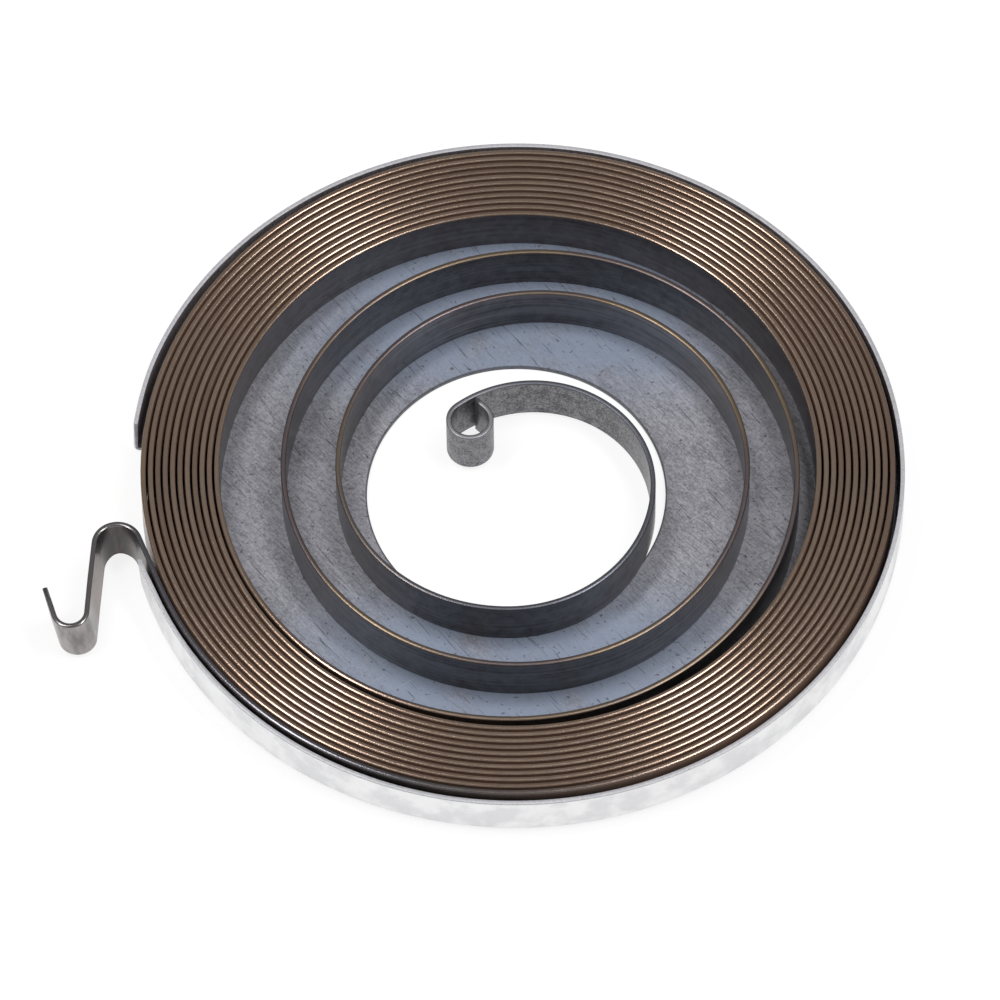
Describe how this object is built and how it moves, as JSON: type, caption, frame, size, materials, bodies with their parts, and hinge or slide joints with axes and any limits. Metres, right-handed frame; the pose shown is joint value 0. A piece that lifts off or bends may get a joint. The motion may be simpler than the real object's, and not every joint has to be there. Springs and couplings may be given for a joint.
{
  "type": "spiral power spring",
  "caption": "Spiral power spring of flat steel strip wound into a shallow sheet-steel case, with a curled eye at its inner end and an S-shaped hook out of a notch in the wall.",
  "frame": {"origin": "on the case axis, at the underside of the case floor", "axes": "+Z out of the open side of the case; -X towards the notch and the outer hook; +Y to the side that the inner arm and eye lie on"},
  "size_m": [0.083, 0.075, 0.0056],
  "materials": {
    "case_sheet": "zinc-coated sheet, semi-gloss",
    "spring_steel": "tempered brown strip, satin"
  },
  "bodies": {
    "root": {"spring_case": "case_sheet", "spring_strip": "spring_steel"}
  },
  "joints": []
}
